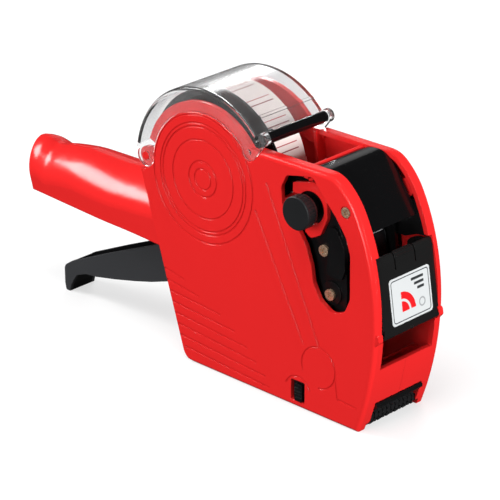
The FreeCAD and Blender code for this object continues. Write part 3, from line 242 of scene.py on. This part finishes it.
def paper(name, kind="plain"):
    """label paper; 'roll' prints pairs of thin lines across the web and shows the windings at the
    ends, 'web' prints the same lines along its path"""
    m = Mat(name)
    base = (0.84, 0.745, 0.715)
    n1 = m.noise(150.0, 4.0, 0.6)
    col = m.mix(n1, tuple(c * 0.965 for c in base), base)
    X, Y, Z = m.xyz()
    pitch = 12.2
    if kind != "plain":
        c = H(-3.0, 0, 2.0)
        dx = m.math("SUBTRACT", X, c.x)
        dz = m.math("SUBTRACT", Z, c.z)
        if kind == "roll":
            arc = m.math("MULTIPLY", m.math("ARCTAN2", dz, dx), 35.0)   # millimetres along the web
        else:
            arc = m.math("MULTIPLY", dz, 1000.0)
        # the lines stop short of both edges
        yy = m.math("ABSOLUTE", m.math("ADD", Y, 0.0006))
        inside = m.rng(yy, 0.0082, 0.0084, 1.0, 0.0)
        for off, wide, ink in ((0.0, 0.21, (0.23, 0.015, 0.02)), (3.0, 0.17, (0.40, 0.02, 0.03))):
            s = m.math("ADD", arc, 200 * pitch + 4.4 - off)
            f = m.math("MODULO", s, pitch)
            a = m.math("ABSOLUTE", m.math("SUBTRACT", f, pitch / 2))
            mask = m.math("MULTIPLY", m.rng(a, wide, wide + 0.10, 1.0, 0.0), inside)
            col = m.mix(mask, col, ink)
        if kind == "roll":
            # one small registration dot between two lines
            s = m.math("SUBTRACT", arc, 60.9)
            yv = m.math("MULTIPLY", m.math("ADD", Y, -0.0005), 1000.0)
            r2 = m.math("ADD", m.math("MULTIPLY", s, s), m.math("MULTIPLY", yv, yv))
            col = m.mix(m.rng(r2, 0.16, 0.30, 1.0, 0.0), col, (0.12, 0.01, 0.02))
            # windings on the end faces
            r = m.math("SQRT", m.math("ADD", m.math("MULTIPLY", dx, dx), m.math("MULTIPLY", dz, dz)))
            rings = m.noise(1.0, 2.0, 0.6, m.combine(m.math("MULTIPLY", r, 2600.0), 0.0, 0.0))
            end = m.rng(m.math("ABSOLUTE", Y), 0.01052, 0.01056, 0.0, 1.0)
            shade = m.mix(m.rng(rings, 0.35, 0.65, 0.0, 1.0), (0.42, 0.40, 0.38), (0.74, 0.72, 0.70))
            col = m.mix(end, col, shade)
    m.link(col, m.b.inputs["Base Color"])
    m.b.inputs["Roughness"].default_value = 0.55
    n3 = m.noise(700.0, 3.0, 0.6)
    m.normal(m.bump(n3, 0.08, 0.0001))
    return m.m


def sticker(name):
    """white label on the ink cover: thin inset border and a plain generic device made of bars, a
    ring and a quarter disc, in the red, black and grey of the rest"""
    m = Mat(name)
    X, Y, Z = m.xyz()
    # millimetres from the label's middle: u across the tool, v up the face
    mid_ = H(100.14 - 0.15 * (-33.57 + 30), 0, -33.57)
    u = m.math("MULTIPLY", m.math("SUBTRACT", Y, 0.0013), 1000.0)
    v = m.math("MULTIPLY", m.math("SUBTRACT", Z, mid_.z), 1011.0)
    au, av = m.math("ABSOLUTE", u), m.math("ABSOLUTE", v)
    n1 = m.noise(200.0, 3.0, 0.6)
    base = m.mix(n1, (0.575, 0.595, 0.60), (0.60, 0.62, 0.625))

    def sd_box(x, y, hx, hy, r):
        qx = m.math("MAXIMUM", m.math("SUBTRACT", x, hx - r), 0.0)
        qy = m.math("MAXIMUM", m.math("SUBTRACT", y, hy - r), 0.0)
        l = m.math("SQRT", m.math("ADD", m.math("MULTIPLY", qx, qx), m.math("MULTIPLY", qy, qy)))
        return m.math("SUBTRACT", l, r)

    def dab(x0, y0):
        return m.math("ABSOLUTE", m.math("SUBTRACT", u, x0)), m.math("ABSOLUTE", m.math("SUBTRACT", v, y0))
    d = sd_box(au, av, 12.25, 9.35, 1.3)
    border = m.rng(m.math("ABSOLUTE", d), 0.16, 0.30, 1.0, 0.0)
    col = m.mix(border, base, (0.045, 0.05, 0.055))

    def fill(sd, ink, soft=0.12):
        nonlocal col
        col = m.mix(m.rng(sd, -soft, soft, 1.0, 0.0), col, ink)
    red_ink, dark_ink, grey_ink = (0.70, 0.012, 0.016), (0.035, 0.038, 0.040), (0.30, 0.31, 0.32)
    # quarter of a red disc, lower left, cut by a white band
    rx, ry = m.math("ADD", u, 6.4), m.math("ADD", v, 5.6)
    rr = m.math("SQRT", m.math("ADD", m.math("MULTIPLY", rx, rx), m.math("MULTIPLY", ry, ry)))
    quarter = m.math("MAXIMUM", m.math("SUBTRACT", rr, 9.0),
                     m.math("MAXIMUM", m.math("MULTIPLY", rx, -1.0), m.math("MULTIPLY", ry, -1.0)))
    quarter = m.math("MAXIMUM", quarter, m.math("SUBTRACT", 0.55, m.math("ABSOLUTE", m.math("SUBTRACT", rr, 5.3))))
    fill(quarter, red_ink)
    # three dark bars of falling length, upper right
    for k, (x0, hx) in enumerate(((4.9, 4.1), (5.8, 3.2), (6.7, 2.3))):
        ax, ay = dab(x0, 6.9 - 2.3 * k)
        fill(sd_box(ax, ay, hx, 0.62, 0.3), dark_ink)
    # small grey ring, lower right
    gx, gy = m.math("SUBTRACT", u, 6.9), m.math("ADD", v, 4.6)
    gr = m.math("SQRT", m.math("ADD", m.math("MULTIPLY", gx, gx), m.math("MULTIPLY", gy, gy)))
    fill(m.math("SUBTRACT", m.math("ABSOLUTE", m.math("SUBTRACT", gr, 1.8)), 0.32), grey_ink)
    m.link(col, m.b.inputs["Base Color"])
    m.b.inputs["Roughness"].default_value = 0.32
    m.normal(m.bump(m.noise(500.0, 2.0, 0.5), 0.03, 0.0001))
    return m.m


slots = {}


def give(mat, *names):
    for n in names:
        slots[n] = mat


give(red, "right_shell", "left_shell", "selector_plate", "cross_brace")
give(black_lug, "roll_holder")
give(black_satin, "web_guide", "side_liner", "head_frame", "left_cheek", "right_cheek", "peel_bar",
     "bottom_cover", "latch_tab_right", "latch_tab_left", "selector_collar")
give(black_knob, "selector_knob")
give(black, "head_hood", "cover_bar")
give(black_cover, "ink_cover")
give(grey, "trigger_lever")
give(clear, "clear_cover")
give(window, "index_window")
give(brass, "shell_screws", "cheek_screws")
give(steel, "main_pivot_pin", "return_spring", "feed_axle", "roller_axle", "ink_axle", "pawl_pin",
     "spindle_tube")
give(dark_steel, "platen", "band_anvil")
give(white, "feed_ratchet", "feed_pawl", "ink_core", "feed_wheel")
give(wheel_white, *["digit_wheel_%d" % (i + 1) for i in range(8)])
give(rubber, "applicator_roller")
give(band, "print_bands")
give(foam, "ink_roller")
give(board, "label_core")
give(paper("label_paper", "roll"), "label_roll")
give(paper("label_web_paper", "web"), "label_web")
give(sticker("ink_label_print"), "ink_label")

for n, o in nodes.items():
    o.data.materials.clear()
    o.data.materials.append(slots[n])

# ------------------------------------------------------------------ camera
cam_data = bpy.data.cameras.new("camera")
cam = bpy.data.objects.new("camera", cam_data)
scene.collection.objects.link(cam)
back = D(0.625301, -0.676692, 0.388698)
right = D(0.734445, 0.678668, 0.0)
up = back.cross(right)
pos = H(851.526, -913.346, 486.034)
cam.matrix_world = Matrix(((right.x, up.x, back.x, pos.x), (right.y, up.y, back.y, pos.y),
                           (right.z, up.z, back.z, pos.z), (0, 0, 0, 1)))
cam_data.sensor_width = 36.0
cam_data.lens = 216.0
cam_data.clip_start = 0.05
cam_data.clip_end = 50.0
scene.camera = cam

# ------------------------------------------------------------------ floor and light
world = bpy.data.worlds.new("world")
scene.world = world
world.use_nodes = True
wt = world.node_tree
bg = wt.nodes["Background"]
bg.inputs["Color"].default_value = (1, 1, 1, 1)
# a dark studio with a pale surround that only the camera and the clear plastic see
lp = wt.nodes.new("ShaderNodeLightPath")
seen = wt.nodes.new("ShaderNodeMath")
seen.operation = "MAXIMUM"
wt.links.new(lp.outputs["Is Camera Ray"], seen.inputs[0])
wt.links.new(lp.outputs["Is Transmission Ray"], seen.inputs[1])
level = wt.nodes.new("ShaderNodeMapRange")
wt.links.new(seen.outputs[0], level.inputs["Value"])
level.inputs["To Min"].default_value = 0.035
level.inputs["To Max"].default_value = 0.95
wt.links.new(level.outputs["Result"], bg.inputs["Strength"])

mid = H(0, 0, -35)


def toward(dx, dy, dz, dist):
    """point at a distance in a direction of the working axes"""
    v = D(dx, dy, dz).normalized()
    return mid + v * dist


def area(name, where, size, power, size_y=None, color=(1, 1, 1), glossy=True, look=None):
    d = bpy.data.lights.new(name, "AREA")
    d.shape = "RECTANGLE" if size_y else "SQUARE"
    d.size = size
    if size_y:
        d.size_y = size_y
    d.energy = power
    d.color = color
    o = bpy.data.objects.new(name, d)
    scene.collection.objects.link(o)
    v = (Vector(look if look is not None else mid) - Vector(where)).normalized()
    o.matrix_world = Matrix.Translation(Vector(where)) @ v.to_track_quat("-Z", "Y").to_matrix().to_4x4()
    o.visible_glossy = glossy
    return o


# soft box whose reflection runs along the shoulder of the handle
area("soft_box", toward(-0.755, -0.325, 0.57, 1.1), 0.42, 7.8, 0.46)
# light from the camera's side, without mirror images in the flat sides
area("side_fill", toward(0.05, -1.0, 0.28, 1.5), 0.55, 10.8, 0.55, glossy=False)
area("front_fill", toward(1.0, 0.12, 0.22, 1.5), 0.5, 26.5, 0.5, glossy=False)
area("top_fill", toward(0.1, -0.25, 1.0, 1.4), 0.6, 10.0, 0.6, glossy=False)
# weak soft box behind, seen in the level tops only
area("rim", toward(-0.62, 0.68, 0.42, 1.2), 0.30, 0.22, 0.5)
# upright soft box on the right, seen only in the rounded edges
area("edge_strip", toward(0.33, -0.93, 0.16, 1.3), 0.36, 5.4, 0.56)
# light for the other side of the object
area("rear_fill", toward(-0.6, 0.9, 0.35, 1.6), 0.6, 16.0, 0.6, glossy=False)

bm = bmesh.new()
s = 8.0
vs = [bm.verts.new((a, b, 0.0)) for a, b in ((-s, -s), (s, -s), (s, s), (-s, s))]
bm.faces.new(vs)
me = bpy.data.meshes.new("floor")
bm.to_mesh(me)
bm.free()
floor = bpy.data.objects.new("floor", me)
scene.collection.objects.link(floor)
fm = Mat("floor_white")
fn = fm.noise(2.0, 2.0, 0.5)
fm.link(fm.mix(fn, (0.36, 0.36, 0.36), (0.37, 0.37, 0.37)), fm.b.inputs["Base Color"])
fm.b.inputs["Roughness"].default_value = 0.9
fm.b.inputs["Specular IOR Level"].default_value = 0.0
fm.b.inputs["Emission Color"].default_value = (1, 1, 1, 1)
fm.b.inputs["Emission Strength"].default_value = 0.60
me.materials.append(fm.m)
floor.visible_diffuse = False
floor.visible_glossy = False

scene.view_settings.view_transform = "Standard"
scene.view_settings.look = "None"
